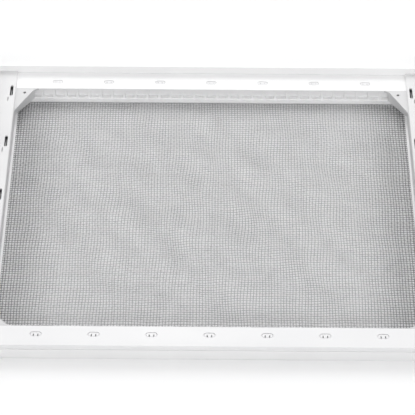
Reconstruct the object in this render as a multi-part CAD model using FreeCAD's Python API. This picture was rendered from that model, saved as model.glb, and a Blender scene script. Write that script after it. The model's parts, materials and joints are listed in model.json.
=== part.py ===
"""Screened board for a ten-frame beehive: a white moulded frame that holds a woven wire screen.

Millimetres, +Z up. X runs across the hive (left is -X), -Y is the open front, +Y the rear.
The origin is on the ground under the middle of the outer size. The frame is a ring of four lower
channels and four upper rails that snap together on studs, a lip on three sides, four corner
gussets, ribbed inner walls at the front and rear, and clamp strips over the screen.
"""

import FreeCAD, Part
import os

# Outer size
WIDTH = 505.0
DEPTH = 405.5
RAIL_TOP = 20.2  # tops of the front and rear rails
SIDE_TOP = 22.2  # tops of the side rails, a step higher
LIP_TOP = 30.2  # top of the lip on the rear and both sides
PARTING = 14.4  # where the upper rails meet the lower channels
PROUD = 1.0  # the lower channels stand out past the upper rails by this much

# Plan of the opening, at the rail tops
OPENING_HALF_X = 225.0
FRONT_EDGE_Y = -175.65
REAR_EDGE_Y = 172.95

# Walls
SKIN = 2.0
FLOOR = 1.2
LOWER_WALL = 2.5
LIP = 3.0
EDGE_ROUND = 0.8
INNER_ROUND = 1.5

# Clamp strips that hold the screen down, and the shelf below it
SHELF_Y = 4.5  # how far the front and rear strips reach into the opening
SHELF_X = 2.3  # the same on the sides
STRIP_BASE_Z = 2.62
STRIP_TOP_Z = 3.9
STRIP_OUTER_Y = 6.9  # how far the front and rear strips run under the rails
STRIP_OUTER_X = 2.5

# Woven wire screen
WIRE = 0.71
PITCH = 3.175  # eight wires to the inch
LONG_WIRES = 112
CROSS_WIRES = 142
WIRE_TAIL = 0.9  # wire past the last crossing
SCREEN_MIDDLE_Y = 0.5 * (FRONT_EDGE_Y + REAR_EDGE_Y)

# Ribbed inner walls at the front and rear: a row of shallow pockets between upright ribs
POCKETS = 31
POCKET_PITCH = 13.5
POCKET_WIDTH = 10.6
POCKET_DEPTH = 5.0
POCKET_LOW_Z = 5.4
POCKET_HIGH_Z = 17.6
POCKET_ROUND = 1.0
WALL_RECESS = 0.4  # the wall's face lies this far back from the rail's edge
WALL_BACK = 1.5

# Snap studs in oblong slots on the front and rear rails
STUDS = 7
STUD_PITCH = 59.3
FRONT_STUD_Y = -186.65
REAR_STUD_Y = 184.15
SLOT_LENGTH = 12.0
SLOT_WIDTH = 6.0
STUD_CLEARANCE = 0.25
STUD_SLIT = 1.2  # two slits on the side facing the front leave a springy tongue between them
STUD_SLIT_X = 2.3
STUD_SLIT_DEPTH = 3.4
FRONT_SLIT_BASE_Z = 17.2
REAR_SLIT_BASE_Z = 19.1
STUD_TOP_Z = 19.9
STUD_CHAMFER = 0.4

# Tongues in long slots on the side rails
TONGUES = 5
TONGUE_PITCH = 81.0
REAR_TONGUE_Y = 167.2
TONGUE_X = 230.0
SIDE_SLOT_LENGTH = 17.0
SIDE_SLOT_WIDTH = 3.4
TONGUE_LENGTH = 14.0
TONGUE_THICK = 1.2
TONGUE_TOP_Z = 17.0
TONGUE_GAP = 0.3  # between the tongue and the outer side of its slot
RELIEF_LENGTH = 7.0
RELIEF_WIDTH = 0.8
RELIEF_GAP_Y = 5.0  # from the end of the slot to the middle of the relief slit
RELIEF_OFFSET_X = 3.2

# Corner gussets
GUSSET_TOP = 2.4
REAR_GUSSET = (21.5, 36.0)  # legs along X and Y
FRONT_GUSSET = (17.0, 19.0)
REAR_FOOT = (20.0, 26.0)  # legs of the post at its foot; it widens up to the plate
FRONT_FOOT = (14.0, 15.0)
POST_INSET = 0.5  # the post's top stays this far inside the plate's legs
GUSSET_BLEND = 4.0  # how far the rounding at each tip runs along the rail and the diagonal
GUSSET_BLEND_SAG = 0.5  # how far that rounding bows in towards the tip
GUSSET_HOLE_R = 1.7
REAR_HOLE = (215.0, 7.0)  # X, and how far in from the rail's edge
FRONT_HOLE = (219.0, 5.0)
LIP_SLOPE = 14.0  # the side lips run down to the rail over this length at the front

# Helpers for cutting and for picking edges
SPARE = 1.0  # how far a cutting solid runs past the face it cuts
NEAR = 0.01  # two heights or places closer than this are the same
ALONG = 0.9  # an edge whose direction has at least this share of an axis runs along it

HALF_X = WIDTH / 2
HALF_Y = DEPTH / 2
UPPER_HALF_X = HALF_X - LIP
UPPER_FRONT_Y = -HALF_Y + PROUD
UPPER_REAR_Y = HALF_Y - LIP


def vec(x, y, z):
    return FreeCAD.Vector(x, y, z)


def block(x0, x1, y0, y1, z0, z1):
    return Part.makeBox(x1 - x0, y1 - y0, z1 - z0, vec(x0, y0, z0))


def prism(points, sweep):
    """A closed outline of straight sides, swept along a vector."""
    wire = Part.makePolygon(points + points[:1])
    return Part.Face(wire).extrude(sweep)


def capsule(x, y, length, width, z0, z1, along_x=True):
    """An upright solid with a plan of two half circles joined by straight sides."""
    straight = length - width
    if along_x:
        core = block(x - straight / 2, x + straight / 2, y - width / 2, y + width / 2, z0, z1)
        shift = vec(straight / 2, 0, 0)
    else:
        core = block(x - width / 2, x + width / 2, y - straight / 2, y + straight / 2, z0, z1)
        shift = vec(0, straight / 2, 0)
    ends = [
        Part.makeCylinder(width / 2, z1 - z0, vec(x, y, z0) + shift),
        Part.makeCylinder(width / 2, z1 - z0, vec(x, y, z0) - shift),
    ]
    return core.fuse(ends).removeSplitter()


def mirror_x(shape):
    """The same shape on the left of the hive."""
    return shape.mirror(vec(0, 0, 0), vec(1, 0, 0))


def round_edges(shape, radius, wanted):
    """Rounds the straight edges whose middle point and direction pass the test."""
    chosen = []
    for edge in shape.Edges:
        middle = edge.valueAt(0.5 * (edge.FirstParameter + edge.LastParameter))
        along = edge.tangentAt(edge.FirstParameter)
        if wanted(middle, along):
            chosen.append(edge)
    return shape.makeFillet(radius, chosen)


def export(name, shapes):
    """Writes one node. Several solids in one node stay separate."""
    shape = shapes if isinstance(shapes, Part.Shape) else Part.makeCompound(shapes)
    shape.exportStep("parts/" + name + ".step")


def stud_places():
    """X of each snap stud, evenly spaced about the middle."""
    first = -0.5 * (STUDS - 1) * STUD_PITCH
    return [first + i * STUD_PITCH for i in range(STUDS)]


def tongue_places():
    """Y of each side tongue, from the rear towards the front."""
    return [REAR_TONGUE_Y - i * TONGUE_PITCH for i in range(TONGUES)]


def end_rail(outer_y, inner_y, stud_y):
    """A front or rear upper rail: a top skin and a short skirt on its outer side, with stud slots."""
    inward = 1 if inner_y > outer_y else -1
    outline = [
        vec(-OPENING_HALF_X, outer_y, PARTING),
        vec(-OPENING_HALF_X, outer_y, RAIL_TOP),
        vec(-OPENING_HALF_X, inner_y, RAIL_TOP),
        vec(-OPENING_HALF_X, inner_y, RAIL_TOP - SKIN),
        vec(-OPENING_HALF_X, outer_y + inward * SKIN, RAIL_TOP - SKIN),
        vec(-OPENING_HALF_X, outer_y + inward * SKIN, PARTING),
    ]
    rail = prism(outline, vec(2 * OPENING_HALF_X, 0, 0))
    rail = round_edges(
        rail,
        EDGE_ROUND,
        lambda at, along: abs(along.x) > ALONG and abs(at.z - RAIL_TOP) < NEAR,
    )
    slots = [
        capsule(x, stud_y, SLOT_LENGTH, SLOT_WIDTH, PARTING, RAIL_TOP + SPARE)
        for x in stud_places()
    ]
    return rail.cut(slots)


def side_rail():
    """The right upper rail: skin, skirt and a full-height inner wall, closed at its front end."""
    outer_x = UPPER_HALF_X
    inner_x = OPENING_HALF_X
    outline = [
        vec(outer_x, UPPER_FRONT_Y, PARTING),
        vec(outer_x, UPPER_FRONT_Y, SIDE_TOP),
        vec(inner_x, UPPER_FRONT_Y, SIDE_TOP),
        vec(inner_x, UPPER_FRONT_Y, STRIP_TOP_Z),
        vec(inner_x + SKIN, UPPER_FRONT_Y, STRIP_TOP_Z),
        vec(inner_x + SKIN, UPPER_FRONT_Y, SIDE_TOP - SKIN),
        vec(outer_x - SKIN, UPPER_FRONT_Y, SIDE_TOP - SKIN),
        vec(outer_x - SKIN, UPPER_FRONT_Y, PARTING),
    ]
    rail = prism(outline, vec(0, UPPER_REAR_Y - UPPER_FRONT_Y, 0))
    cap = block(inner_x, outer_x, UPPER_FRONT_Y, UPPER_FRONT_Y + SKIN, PARTING, SIDE_TOP)
    rail = rail.fuse(cap).removeSplitter()
    # below the parting line the inner wall stops at the lower channels' end walls
    wall_ends = (
        (UPPER_FRONT_Y - SPARE, UPPER_FRONT_Y + SKIN + SPARE),
        (UPPER_REAR_Y - SKIN - SPARE, UPPER_REAR_Y + SPARE),
    )
    for y0, y1 in wall_ends:
        rail = rail.cut(block(inner_x - SPARE, inner_x + SKIN + SPARE, y0, y1, 0, PARTING))
    rail = round_edges(
        rail,
        INNER_ROUND,
        lambda at, along: abs(along.y) > ALONG
        and abs(at.z - SIDE_TOP) < NEAR
        and abs(at.x - inner_x) < NEAR,
    )
    rail = round_edges(
        rail,
        EDGE_ROUND,
        lambda at, along: abs(along.x) > ALONG
        and abs(at.z - SIDE_TOP) < NEAR
        and abs(at.y - UPPER_FRONT_Y) < NEAR,
    )
    cuts = []
    for y in tongue_places():
        top = SIDE_TOP + SPARE
        cuts.append(capsule(TONGUE_X, y, SIDE_SLOT_LENGTH, SIDE_SLOT_WIDTH, PARTING, top, False))
        relief_y = y - 0.5 * SIDE_SLOT_LENGTH - RELIEF_GAP_Y
        relief_x = TONGUE_X + RELIEF_OFFSET_X
        cuts.append(capsule(relief_x, relief_y, RELIEF_LENGTH, RELIEF_WIDTH, PARTING, top, False))
    return rail.cut(cuts)


def lower_end(outer_y, inner_y):
    """A front or rear lower channel: a floor that runs in as the screen's shelf, and an outer wall."""
    inward = 1 if inner_y > outer_y else -1
    reach = OPENING_HALF_X - SHELF_X
    shelf_y = inner_y + inward * SHELF_Y
    outline = [
        vec(-reach, outer_y, 0),
        vec(-reach, outer_y, PARTING),
        vec(-reach, outer_y + inward * LOWER_WALL, PARTING),
        vec(-reach, outer_y + inward * LOWER_WALL, FLOOR),
        vec(-reach, shelf_y, FLOOR),
        vec(-reach, shelf_y, 0),
    ]
    channel = prism(outline, vec(2 * reach, 0, 0))
    return round_edges(
        channel,
        0.5 * EDGE_ROUND,
        lambda at, along: abs(along.x) > ALONG and abs(at.y - outer_y) < NEAR,
    )


def lower_side():
    """The right lower channel, which runs the full depth and has a wall on three sides."""
    inner_x = OPENING_HALF_X - SHELF_X
    floor = block(inner_x, HALF_X, -HALF_Y, HALF_Y, 0, FLOOR)
    walls = [
        block(HALF_X - LOWER_WALL, HALF_X, -HALF_Y, HALF_Y, 0, PARTING),
        block(inner_x, HALF_X, -HALF_Y, -HALF_Y + LOWER_WALL, 0, PARTING),
        block(inner_x, HALF_X, HALF_Y - LOWER_WALL, HALF_Y, 0, PARTING),
    ]
    channel = floor.fuse(walls).removeSplitter()
    return round_edges(
        channel,
        EDGE_ROUND,
        lambda at, along: abs(along.z) > ALONG and abs(at.x - HALF_X) < NEAR,
    )


def rear_lip():
    lip = block(-HALF_X, HALF_X, UPPER_REAR_Y, HALF_Y, PARTING, LIP_TOP)
    return round_edges(
        lip,
        EDGE_ROUND,
        lambda at, along: abs(at.z - LIP_TOP) < NEAR and abs(along.x) > ALONG,
    )


def side_lip():
    """The right lip, which runs down to the side rail's top at the open front."""
    outline = [
        vec(UPPER_HALF_X, -HALF_Y, PARTING),
        vec(UPPER_HALF_X, -HALF_Y, SIDE_TOP),
        vec(UPPER_HALF_X, -HALF_Y + LIP_SLOPE, LIP_TOP),
        vec(UPPER_HALF_X, UPPER_REAR_Y, LIP_TOP),
        vec(UPPER_HALF_X, UPPER_REAR_Y, PARTING),
    ]
    lip = prism(outline, vec(LIP, 0, 0))
    return round_edges(
        lip,
        EDGE_ROUND,
        lambda at, along: abs(at.z - LIP_TOP) < NEAR and abs(along.y) > ALONG,
    )


def corner_wire(corner_x, corner_y, leg_x, leg_y, z):
    """A level triangle in a right corner of the opening; leg_y is signed."""
    points = [
        vec(corner_x, corner_y, z),
        vec(corner_x - leg_x, corner_y, z),
        vec(corner_x, corner_y - leg_y, z),
    ]
    return Part.makePolygon(points + points[:1])


def tip_blend(tip, along_rail, along_diagonal):
    """The rounding where a gusset's diagonal runs into a rail's edge: an arc past the tip."""
    start = tip + along_rail * GUSSET_BLEND
    end = tip + along_diagonal * GUSSET_BLEND
    middle = (start + end) * 0.5
    to_tip = (tip - middle).normalize()
    return start, middle + to_tip * GUSSET_BLEND_SAG, end


def gusset_plate(edge_y, leg_x, leg_y, z0, z1):
    """The flat plate of a right gusset: a corner triangle whose two tips blend into the rails."""
    corner = vec(OPENING_HALF_X, edge_y, z0)
    tip_a = corner - vec(leg_x, 0, 0)
    tip_b = corner - vec(0, leg_y, 0)
    diagonal = (tip_b - tip_a).normalize()
    a0, a1, a2 = tip_blend(tip_a, vec(-1, 0, 0), diagonal)
    b0, b1, b2 = tip_blend(tip_b, (tip_b - corner).normalize(), diagonal * -1)
    edges = [
        Part.makeLine(corner, a0),
        Part.Arc(a0, a1, a2).toShape(),
        Part.makeLine(a2, b2),
        Part.Arc(b2, b1, b0).toShape(),
        Part.makeLine(b0, corner),
    ]
    return Part.Face(Part.Wire(edges)).extrude(vec(0, 0, z1 - z0))


def gusset(edge_y, legs, foot_legs, hole_place):
    """A right corner gusset: a flat plate level with the rail tops, on a post that stands on the strips."""
    side = 1 if edge_y > 0 else -1
    plate_z = RAIL_TOP - GUSSET_TOP
    plate = gusset_plate(edge_y, legs[0], side * legs[1], plate_z, RAIL_TOP)
    foot_x, foot_y = foot_legs
    top_x = legs[0] - POST_INSET
    top_y = legs[1] - POST_INSET
    foot = corner_wire(OPENING_HALF_X, edge_y, foot_x, side * foot_y, STRIP_TOP_Z)
    top = corner_wire(OPENING_HALF_X, edge_y, top_x, side * top_y, plate_z)
    post = Part.makeLoft([foot, top], True, True)
    solid = plate.fuse(post).removeSplitter()
    hole_x, inset_y = hole_place
    hole = Part.makeCylinder(GUSSET_HOLE_R, RAIL_TOP, vec(hole_x, edge_y - side * inset_y, 0))
    return solid.cut(hole)


def ribbed_wall(face_y, outward):
    """An inner wall with a row of pockets between ribs. Its face looks into the opening."""
    back_y = face_y + outward * (POCKET_DEPTH + WALL_BACK)
    floor_y = face_y + outward * POCKET_DEPTH
    mouth_y = face_y - outward * SPARE
    wall = block(
        -OPENING_HALF_X,
        OPENING_HALF_X,
        min(face_y, back_y),
        max(face_y, back_y),
        STRIP_TOP_Z,
        RAIL_TOP - SKIN,
    )
    first = -0.5 * (POCKETS - 1) * POCKET_PITCH
    pockets = []
    for i in range(POCKETS):
        middle = first + i * POCKET_PITCH
        pocket = block(
            middle - 0.5 * POCKET_WIDTH,
            middle + 0.5 * POCKET_WIDTH,
            min(mouth_y, floor_y),
            max(mouth_y, floor_y),
            POCKET_LOW_Z,
            POCKET_HIGH_Z,
        )
        pockets.append(round_edges(pocket, POCKET_ROUND, lambda at, along: abs(along.y) > ALONG))
    return wall.cut(pockets)


def end_strip(edge_y, outward):
    """A front or rear clamp strip, which lies on the screen's edge and runs under the rail."""
    inner_y = edge_y - outward * SHELF_Y
    outer_y = edge_y + outward * STRIP_OUTER_Y
    reach = OPENING_HALF_X - SHELF_X
    return block(
        -reach,
        reach,
        min(inner_y, outer_y),
        max(inner_y, outer_y),
        STRIP_BASE_Z,
        STRIP_TOP_Z,
    )


def side_strip():
    """The right clamp strip, which runs past the ends of the front and rear strips."""
    return block(
        OPENING_HALF_X - SHELF_X,
        OPENING_HALF_X + STRIP_OUTER_X,
        FRONT_EDGE_Y - STRIP_OUTER_Y,
        REAR_EDGE_Y + STRIP_OUTER_Y,
        STRIP_BASE_Z,
        STRIP_TOP_Z,
    )


def snap_stud(x, y, slit_base_z):
    """A post on the lower channel's floor that fills a slot of the upper rail, slit to leave a tongue."""
    length = SLOT_LENGTH - 2 * STUD_CLEARANCE
    width = SLOT_WIDTH - 2 * STUD_CLEARANCE
    post = capsule(x, y, length, width, FLOOR, STUD_TOP_Z)
    post = post.makeChamfer(
        STUD_CHAMFER, [e for e in post.Edges if abs(e.CenterOfMass.z - STUD_TOP_Z) < NEAR]
    )
    front_y = y - 0.5 * width
    slits = []
    for middle in (x - STUD_SLIT_X, x + STUD_SLIT_X):
        slits.append(
            block(
                middle - 0.5 * STUD_SLIT,
                middle + 0.5 * STUD_SLIT,
                front_y - SPARE,
                front_y + STUD_SLIT_DEPTH,
                slit_base_z,
                STUD_TOP_Z + SPARE,
            )
        )
    return post.cut(slits)


def tongue(y):
    """A flat tongue on the right lower channel's floor, standing below a side slot."""
    x = TONGUE_X + 0.5 * SIDE_SLOT_WIDTH - TONGUE_GAP
    plate = block(
        x - TONGUE_THICK,
        x,
        y - 0.5 * TONGUE_LENGTH,
        y + 0.5 * TONGUE_LENGTH,
        FLOOR,
        TONGUE_TOP_Z,
    )
    return round_edges(
        plate,
        0.5 * EDGE_ROUND,
        lambda at, along: abs(at.z - TONGUE_TOP_Z) < NEAR and abs(along.y) > ALONG,
    )


def screen_wires():
    """The two layers of the wire screen: long wires across the hive, cross wires on top of them."""
    half_y = 0.5 * (LONG_WIRES - 1) * PITCH
    half_x = 0.5 * (CROSS_WIRES - 1) * PITCH
    low_z = FLOOR + 0.5 * WIRE
    high_z = low_z + WIRE
    long_wires = []
    for i in range(LONG_WIRES):
        start = vec(-half_x - WIRE_TAIL, SCREEN_MIDDLE_Y - half_y + i * PITCH, low_z)
        long_wires.append(
            Part.makeCylinder(0.5 * WIRE, 2 * (half_x + WIRE_TAIL), start, vec(1, 0, 0))
        )
    cross_wires = []
    for i in range(CROSS_WIRES):
        start = vec(-half_x + i * PITCH, SCREEN_MIDDLE_Y - half_y - WIRE_TAIL, high_z)
        cross_wires.append(
            Part.makeCylinder(0.5 * WIRE, 2 * (half_y + WIRE_TAIL), start, vec(0, 1, 0))
        )
    return long_wires, cross_wires


def main():
    os.makedirs("parts", exist_ok=True)

    export("upper_front_rail", end_rail(UPPER_FRONT_Y, FRONT_EDGE_Y, FRONT_STUD_Y))
    export("upper_rear_rail", end_rail(UPPER_REAR_Y, REAR_EDGE_Y, REAR_STUD_Y))
    export("lower_front_channel", lower_end(-HALF_Y, FRONT_EDGE_Y))
    export("lower_rear_channel", lower_end(HALF_Y, REAR_EDGE_Y))
    export("rear_lip", rear_lip())
    export("front_ribbed_wall", ribbed_wall(FRONT_EDGE_Y - WALL_RECESS, -1))
    export("rear_ribbed_wall", ribbed_wall(REAR_EDGE_Y + WALL_RECESS, 1))
    export("front_clamp_strip", end_strip(FRONT_EDGE_Y, -1))
    export("rear_clamp_strip", end_strip(REAR_EDGE_Y, 1))
    front_studs = [snap_stud(x, FRONT_STUD_Y, FRONT_SLIT_BASE_Z) for x in stud_places()]
    rear_studs = [snap_stud(x, REAR_STUD_Y, REAR_SLIT_BASE_Z) for x in stud_places()]
    export("front_snap_studs", front_studs)
    export("rear_snap_studs", rear_studs)

    # each right-hand piece has a mirror image on the left
    pairs = {
        "upper_{}_rail": side_rail(),
        "lower_{}_channel": lower_side(),
        "{}_lip": side_lip(),
        "{}_clamp_strip": side_strip(),
        "{}_snap_tongues": Part.makeCompound([tongue(y) for y in tongue_places()]),
        "gusset_rear_{}": gusset(REAR_EDGE_Y, REAR_GUSSET, REAR_FOOT, REAR_HOLE),
        "gusset_front_{}": gusset(FRONT_EDGE_Y, FRONT_GUSSET, FRONT_FOOT, FRONT_HOLE),
    }
    for name, shape in pairs.items():
        export(name.format("right"), shape)
        export(name.format("left"), mirror_x(shape))

    long_wires, cross_wires = screen_wires()
    export("screen_long_wires", long_wires)
    export("screen_cross_wires", cross_wires)


main()
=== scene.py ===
"""A white moulded hive board with a woven wire screen, on a plain pale floor under soft studio light."""

import json
import math

import bpy
import numpy as np
from mathutils import Matrix, Vector


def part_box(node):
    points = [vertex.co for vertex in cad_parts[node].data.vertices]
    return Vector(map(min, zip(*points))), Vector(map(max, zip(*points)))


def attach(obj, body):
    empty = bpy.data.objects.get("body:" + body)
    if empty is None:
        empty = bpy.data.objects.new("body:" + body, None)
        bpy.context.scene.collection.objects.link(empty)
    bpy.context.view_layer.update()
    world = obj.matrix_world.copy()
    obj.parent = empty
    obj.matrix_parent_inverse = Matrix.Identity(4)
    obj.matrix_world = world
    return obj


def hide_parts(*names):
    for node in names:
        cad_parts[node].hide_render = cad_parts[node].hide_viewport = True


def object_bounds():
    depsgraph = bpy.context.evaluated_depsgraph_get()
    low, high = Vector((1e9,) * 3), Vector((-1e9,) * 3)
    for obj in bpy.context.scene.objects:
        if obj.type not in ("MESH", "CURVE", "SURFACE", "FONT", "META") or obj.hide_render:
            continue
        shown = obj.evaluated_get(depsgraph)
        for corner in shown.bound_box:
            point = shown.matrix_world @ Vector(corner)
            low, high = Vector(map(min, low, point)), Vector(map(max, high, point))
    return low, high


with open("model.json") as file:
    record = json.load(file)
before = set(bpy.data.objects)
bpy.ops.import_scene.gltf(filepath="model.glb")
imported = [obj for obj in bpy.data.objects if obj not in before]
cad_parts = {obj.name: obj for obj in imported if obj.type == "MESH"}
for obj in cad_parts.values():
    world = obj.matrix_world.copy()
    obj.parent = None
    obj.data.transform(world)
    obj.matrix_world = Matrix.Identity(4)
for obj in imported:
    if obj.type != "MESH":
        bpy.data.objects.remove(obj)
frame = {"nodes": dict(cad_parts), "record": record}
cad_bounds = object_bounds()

BODY = "root"

# Screen: the frame's two straight layers of wire, now woven over and under each other
WIRE_RADIUS = 0.000355
WIRE_PITCH = 0.003175
WIRE_SIDES = 6
STEPS_PER_PITCH = 2
WIRE_JITTER = 0.00025  # how far one wire may lie from its even place
DRIFT = 0.0022  # how far the whole weave wanders sideways
DRIFT_WAVES = ((9.0, 5.0, 0.4), (4.0, 13.0, 2.1), (17.0, 11.0, 4.4))  # turns per metre in x, y, and a phase
SAG = 0.00025  # how far it waves up and down
WIRE_PARTS = 3  # pieces per direction

# Camera, from the front and above, with a long lens
CAMERA_PLACE = Vector((0.0004, -1.3508, 1.5009))
CAMERA_PITCH = math.radians(47.853)
CAMERA_YAW = math.radians(-0.154)
CAMERA_ROLL = math.radians(0.317)
LENS_MM = 159.3
SENSOR_MM = 36.0

EDGE_SOFTNESS = 0.00025  # radius of the softened moulded edges
FLOOR_SIZE = 12.0
WORLD_STRENGTH = 0.24

# Softboxes: name, turn round the object from the front, height above the horizon, distance, size, power
SOFTBOXES = (
    ("left_softbox", -90.0, 28.0, 2.2, 1.0, 13.5),
    ("right_softbox", 90.0, 28.0, 2.2, 1.0, 13.5),
    ("front_softbox", 0.0, 25.0, 3.4, 1.6, 40.5),
    ("top_softbox", 0.0, 65.0, 2.2, 1.2, 4.5),
    ("rear_softbox", 180.0, 43.0, 3.2, 2.4, 62.0),
)


# ---------------------------------------------------------------- materials

def new_material(name):
    """An empty node material with a Principled shader wired to its output."""
    material = bpy.data.materials.new(name)
    material.use_nodes = True
    tree = material.node_tree
    tree.nodes.clear()
    output = tree.nodes.new("ShaderNodeOutputMaterial")
    shader = tree.nodes.new("ShaderNodeBsdfPrincipled")
    tree.links.new(shader.outputs["BSDF"], output.inputs["Surface"])
    return material, tree, shader


def noise(tree, scale, detail=2.0, stretch=(1.0, 1.0, 1.0)):
    """A noise texture on the object's own metres."""
    place = tree.nodes.new("ShaderNodeTexCoord")
    mapping = tree.nodes.new("ShaderNodeMapping")
    mapping.inputs["Scale"].default_value = stretch
    texture = tree.nodes.new("ShaderNodeTexNoise")
    texture.inputs["Scale"].default_value = scale
    texture.inputs["Detail"].default_value = detail
    tree.links.new(place.outputs["Object"], mapping.inputs["Vector"])
    tree.links.new(mapping.outputs["Vector"], texture.inputs["Vector"])
    return texture.outputs["Fac"]


def ranged(tree, value, low, high):
    """The value's usual spread, 0.3 to 0.7, taken to low to high."""
    node = tree.nodes.new("ShaderNodeMapRange")
    node.inputs["From Min"].default_value = 0.3
    node.inputs["From Max"].default_value = 0.7
    node.inputs["To Min"].default_value = low
    node.inputs["To Max"].default_value = high
    tree.links.new(value, node.inputs["Value"])
    return node.outputs["Result"]


def blend_colours(tree, factor, first, second):
    """A mix of two colours, each a tuple or another node's output."""
    node = tree.nodes.new("ShaderNodeMix")
    node.data_type = "RGBA"
    for socket, colour in ((node.inputs[6], first), (node.inputs[7], second)):
        if isinstance(colour, tuple):
            socket.default_value = (*colour, 1.0)
        else:
            tree.links.new(colour, socket)
    tree.links.new(factor, node.inputs[0])
    return node.outputs[2]


def bump(tree, height, distance, strength, before=None):
    """A bumped normal, on top of an earlier one if there is one."""
    node = tree.nodes.new("ShaderNodeBump")
    node.inputs["Distance"].default_value = distance
    node.inputs["Strength"].default_value = strength
    tree.links.new(height, node.inputs["Height"])
    if before is not None:
        tree.links.new(before, node.inputs["Normal"])
    return node.outputs["Normal"]


def moulded_plastic(name, pale, shade, roughness, grain=0.5):
    """White injection-moulded plastic: cloudy flow marks, a fine spark-eroded grain and slow sink waves."""
    material, tree, shader = new_material(name)
    clouds = noise(tree, 14.0, 3.0)
    specks = noise(tree, 420.0, 2.0)
    flow = noise(tree, 30.0, 2.0, (0.15, 1.0, 1.0))
    base = blend_colours(tree, ranged(tree, clouds, 0.0, 1.0), pale, shade)
    base = blend_colours(tree, ranged(tree, specks, 0.0, 0.25), base, shade)
    tree.links.new(base, shader.inputs["Base Color"])
    gloss = ranged(tree, flow, roughness - 0.05, roughness + 0.07)
    tree.links.new(gloss, shader.inputs["Roughness"])
    waves = bump(tree, noise(tree, 22.0, 1.0), 0.0012, 0.10)
    skin = bump(tree, noise(tree, 2600.0, 2.0), 0.00005, grain, waves)
    tree.links.new(skin, shader.inputs["Normal"])
    shader.inputs["IOR"].default_value = 1.49
    return material


def painted_side_shade_mask(tree, start, end):
    """0 in the middle of the object, rising to 1 between those two distances from its middle line: the mask
    of the painted shade near the sides.
    """
    place = tree.nodes.new("ShaderNodeTexCoord")
    parts = tree.nodes.new("ShaderNodeSeparateXYZ")
    tree.links.new(place.outputs["Object"], parts.inputs["Vector"])
    distance = tree.nodes.new("ShaderNodeMath")
    distance.operation = "ABSOLUTE"
    tree.links.new(parts.outputs["X"], distance.inputs[0])
    node = tree.nodes.new("ShaderNodeMapRange")
    node.inputs["From Min"].default_value = start
    node.inputs["From Max"].default_value = end
    tree.links.new(distance.outputs["Value"], node.inputs["Value"])
    return node.outputs["Result"]


def drawn_wire(name):
    """Semi-bright steel wire: fine drawing marks, dull patches, and painted shade that darkens it towards the
    side edges.
    """
    material, tree, shader = new_material(name)
    patches = noise(tree, 60.0, 3.0)
    fine = noise(tree, 1500.0, 3.0)
    base = blend_colours(tree, ranged(tree, patches, 0.0, 1.0), (0.58, 0.58, 0.59), (0.48, 0.48, 0.49))
    base = blend_colours(tree, ranged(tree, fine, 0.0, 0.5), base, (0.37, 0.37, 0.38))
    # Painted shade: the wire goes almost black towards the side edges, standing in for the side rails' shadow
    # on the screen.
    base = blend_colours(tree, painted_side_shade_mask(tree, 0.16, 0.26), base, (0.10, 0.10, 0.11))
    tree.links.new(base, shader.inputs["Base Color"])
    tree.links.new(ranged(tree, fine, 0.32, 0.50), shader.inputs["Roughness"])
    tree.links.new(bump(tree, fine, 0.00003, 0.4), shader.inputs["Normal"])
    shader.inputs["Metallic"].default_value = 1.0
    return material


def make_materials():
    """One material for each of the record's material slots, and one for nodes that differ from theirs. The
    one white plastic is given a lighter or darker tone part by part as painted light and shade.
    """
    # Painted shade: the side rails get a darker copy of the same white plastic.
    side_rails_painted_shade = moulded_plastic("side_rail_plastic_painted_shade", (0.745, 0.745, 0.748), (0.715, 0.715, 0.722), 0.44)
    # Painted light: the rear rail gets a lighter copy of the white plastic, lifting the shade the lip casts
    # on it.
    rear_rail = moulded_plastic("rear_rail_plastic_painted_light", (0.91, 0.91, 0.912), (0.89, 0.89, 0.895), 0.42)
    # Painted shade: the gussets get a darker copy of the same white plastic.
    gussets_painted_shade = moulded_plastic("gusset_plastic_painted_shade", (0.66, 0.66, 0.663), (0.63, 0.63, 0.637), 0.46)
    # Painted shade: the clamp strips get a darker copy, dimming the light along their tops.
    strips_painted_shade = moulded_plastic("clamp_strip_plastic_painted_shade", (0.86, 0.86, 0.865), (0.82, 0.82, 0.83), 0.50)
    return {
        "front_clamp_strip": strips_painted_shade,
        "rear_clamp_strip": strips_painted_shade,
        "left_clamp_strip": strips_painted_shade,
        "right_clamp_strip": strips_painted_shade,
        "upper_left_rail": side_rails_painted_shade,
        "upper_right_rail": side_rails_painted_shade,
        "upper_rear_rail": rear_rail,
        "gusset_front_left": gussets_painted_shade,
        "gusset_front_right": gussets_painted_shade,
        "gusset_rear_left": gussets_painted_shade,
        "gusset_rear_right": gussets_painted_shade,
        "upper_frame": moulded_plastic("upper_frame_plastic", (0.83, 0.83, 0.835), (0.80, 0.80, 0.81), 0.42),
        "lower_frame": moulded_plastic("lower_frame_plastic", (0.85, 0.85, 0.852), (0.82, 0.82, 0.825), 0.46),
        # Painted light: the lip and the inner trim get the lightest copies of the white plastic, standing in
        # for the light on the lip's front and on the inner trim.
        "lip": moulded_plastic("lip_plastic_painted_light", (0.96, 0.96, 0.96), (0.94, 0.94, 0.943), 0.44),
        "inner_trim": moulded_plastic("inner_trim_plastic_painted_light", (0.96, 0.96, 0.962), (0.93, 0.93, 0.935), 0.48),
        "snap_fasteners": moulded_plastic("snap_plastic", (0.82, 0.82, 0.825), (0.78, 0.78, 0.79), 0.40),
        "screen_wire": drawn_wire("screen_wire_steel"),
    }


def dress_cad_nodes(materials):
    """Gives every CAD node its slot's material and softens its moulded edges."""
    for entry in frame["record"]["subparts"]:
        node = frame["nodes"][entry["node"]]
        own = materials.get(entry["node"], materials[entry["material_slot"]])
        node.data.materials.clear()
        node.data.materials.append(own)
        if entry["material_slot"] == "screen_wire":
            continue
        bevel = node.modifiers.new("soft_edges", "BEVEL")
        bevel.width = EDGE_SOFTNESS
        bevel.segments = 2
        bevel.limit_method = "ANGLE"
        bevel.angle_limit = math.radians(40)


# ---------------------------------------------------------------- the woven screen

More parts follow.
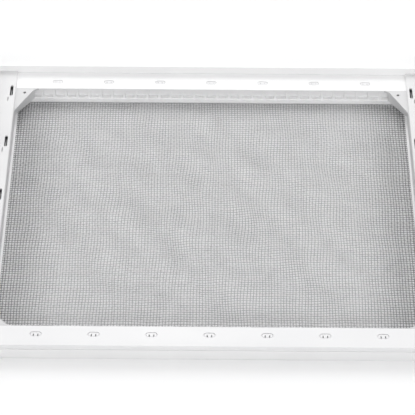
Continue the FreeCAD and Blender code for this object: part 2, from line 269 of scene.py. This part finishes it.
def drift(points, low, high):
    """Lets the weave wander a little and sag between its held edges, where it doesn't move."""
    inside = np.ones(len(points))
    for axis in (0, 1):
        share = (points[:, axis] - low[axis]) / (high[axis] - low[axis])
        inside *= np.sin(np.pi * np.clip(share, 0.0, 1.0)) ** 0.5
    moved = points.copy()
    for turns_x, turns_y, phase in DRIFT_WAVES:
        angle = 2 * np.pi * (turns_x * points[:, 0] + turns_y * points[:, 1]) + phase
        moved[:, 0] += inside * DRIFT * np.sin(angle) / len(DRIFT_WAVES)
        moved[:, 1] += inside * DRIFT * np.cos(1.3 * angle + 1.0) / len(DRIFT_WAVES)
        moved[:, 2] += inside * SAG * np.sin(0.8 * angle + 2.0) / len(DRIFT_WAVES)
    return moved


def wire_tube(start, along, crossings, first_phase):
    """The points of one crimped wire: a tube whose axis waves up and down past the crossing wires.

    first_phase is 1 where the wire goes over the first crossing and -1 where it goes under it.
    """
    steps = np.arange(crossings * STEPS_PER_PITCH + 1) * WIRE_PITCH / STEPS_PER_PITCH
    distance = np.concatenate(([-TAIL], steps, [steps[-1] + TAIL]))
    centre = start + np.outer(distance, along)
    centre[:, 2] += first_phase * WIRE_RADIUS * np.cos(np.pi * distance / WIRE_PITCH)
    angle = 2 * np.pi * np.arange(WIRE_SIDES) / WIRE_SIDES
    up = np.array([0.0, 0.0, 1.0])
    ring = np.outer(np.cos(angle), np.cross(along, up)) + np.outer(np.sin(angle), up)
    return (centre[:, None, :] + WIRE_RADIUS * ring[None, :, :]).reshape(-1, 3)


def tube_faces(rings, first):
    """The faces of a tube of that many rings whose points start at that index, with closed ends."""
    k = np.arange(WIRE_SIDES)
    after = (k + 1) % WIRE_SIDES
    low = first + WIRE_SIDES * np.arange(rings - 1)[:, None]
    sides = np.stack([low + k, low + after, low + after + WIRE_SIDES, low + k + WIRE_SIDES], axis=-1)
    last = first + WIRE_SIDES * (rings - 1)
    return sides.reshape(-1, 4).tolist() + [(first + k[::-1]).tolist(), (last + k).tolist()]


def mesh_piece(name, points, faces, material):
    """A new object in the scene, with one mesh and one material."""
    mesh = bpy.data.meshes.new(name)
    mesh.from_pydata(points, [], faces)
    mesh.materials.append(material)
    piece = bpy.data.objects.new(name, mesh)
    bpy.context.scene.collection.objects.link(piece)
    return piece


def weave(name, node, axis, parity, material):
    """The wires of one direction, in a few pieces so that no mesh grows too large."""
    low, high = (np.array(corner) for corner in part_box(node))
    along = np.eye(3)[axis]
    across = np.eye(3)[1 - axis]
    count = round(((high - low) @ across - 2 * WIRE_RADIUS) / WIRE_PITCH) + 1
    crossings = round(((high - low) @ along - 2 * TAIL) / WIRE_PITCH)
    first = low + along * TAIL + across * WIRE_RADIUS
    first[2] = WEAVE_Z
    chance = np.random.default_rng(7 + axis)
    jitter = chance.uniform(-WIRE_JITTER, WIRE_JITTER, count)
    for part, wires in enumerate(np.array_split(np.arange(count), WIRE_PARTS)):
        points = []
        faces = []
        for i in wires:
            start = first + across * (i * WIRE_PITCH + jitter[i])
            tube = wire_tube(start, along, crossings, 1 if (i + parity) % 2 == 0 else -1)
            faces += tube_faces(len(tube) // WIRE_SIDES, len(points) * len(tube))
            points.append(tube)
        placed = drift(np.concatenate(points), low, high)
        piece = mesh_piece(f"{name}_{part + 1}", placed.tolist(), faces, material)
        piece.data.shade_smooth()
        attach(piece, BODY)
        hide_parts(node)


LONG_LOW, LONG_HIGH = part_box("screen_long_wires")
CROSS_LOW, CROSS_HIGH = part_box("screen_cross_wires")
TAIL = LONG_HIGH.x - CROSS_HIGH.x + WIRE_RADIUS
WEAVE_Z = 0.5 * (LONG_LOW.z + CROSS_HIGH.z)


# ---------------------------------------------------------------- studio

def make_floor():
    """A wide, pale, matt floor under the object."""
    material, tree, shader = new_material("studio_floor")
    tone = noise(tree, 3.0, 2.0)
    base = blend_colours(tree, ranged(tree, tone, 0.0, 1.0), (0.96, 0.96, 0.96), (0.95, 0.95, 0.955))
    tree.links.new(base, shader.inputs["Base Color"])
    shader.inputs["Roughness"].default_value = 0.9
    shader.inputs["Specular IOR Level"].default_value = 0.1
    half = FLOOR_SIZE / 2
    corners = [(-half, -half, 0), (half, -half, 0), (half, half, 0), (-half, half, 0)]
    floor = mesh_piece("studio_floor", corners, [(0, 1, 2, 3)], material)
    floor.location.z = cad_bounds[0][2]


def softbox(name, turn, height, distance, size, power):
    """A round area light that looks at the object. Turn is 0 in front, 90 on the right and 180 behind."""
    light = bpy.data.lights.new(name, "AREA")
    light.shape = "DISK"
    light.size = size
    light.energy = power
    level = math.cos(math.radians(height))
    out = Vector(
        (
            level * math.sin(math.radians(turn)),
            -level * math.cos(math.radians(turn)),
            math.sin(math.radians(height)),
        )
    )
    lamp = bpy.data.objects.new(name, light)
    lamp.location = out * distance
    lamp.rotation_euler = out.to_track_quat("Z", "Y").to_euler()
    bpy.context.scene.collection.objects.link(lamp)


def make_light():
    """An even white sky, and the softboxes."""
    world = bpy.data.worlds.new("studio")
    world.use_nodes = True
    background = world.node_tree.nodes["Background"]
    background.inputs["Color"].default_value = (1.0, 1.0, 1.0, 1.0)
    background.inputs["Strength"].default_value = WORLD_STRENGTH
    bpy.context.scene.world = world
    for box in SOFTBOXES:
        softbox(*box)


def make_camera():
    """A camera whose turn is given as pitch below the horizon, yaw to the right and roll."""
    forward = Vector(
        (
            math.sin(CAMERA_YAW) * math.cos(CAMERA_PITCH),
            math.cos(CAMERA_YAW) * math.cos(CAMERA_PITCH),
            -math.sin(CAMERA_PITCH),
        )
    )
    level = Vector((math.cos(CAMERA_YAW), -math.sin(CAMERA_YAW), 0.0))
    upward = level.cross(forward)
    right = level * math.cos(CAMERA_ROLL) + upward * math.sin(CAMERA_ROLL)
    up = upward * math.cos(CAMERA_ROLL) - level * math.sin(CAMERA_ROLL)
    data = bpy.data.cameras.new("camera")
    data.lens = LENS_MM
    data.sensor_width = SENSOR_MM
    data.clip_end = 100.0
    camera = bpy.data.objects.new("camera", data)
    turn = Matrix((right, up, -forward)).transposed().to_4x4()
    camera.matrix_world = Matrix.Translation(CAMERA_PLACE) @ turn
    bpy.context.scene.collection.objects.link(camera)
    bpy.context.scene.camera = camera


def main():
    materials = make_materials()
    dress_cad_nodes(materials)
    weave("woven_long_wires", "screen_long_wires", 0, 0, materials["screen_wire"])
    weave("woven_cross_wires", "screen_cross_wires", 1, 1, materials["screen_wire"])
    make_floor()
    make_light()
    make_camera()
    bpy.context.scene.view_settings.view_transform = "Standard"


main()
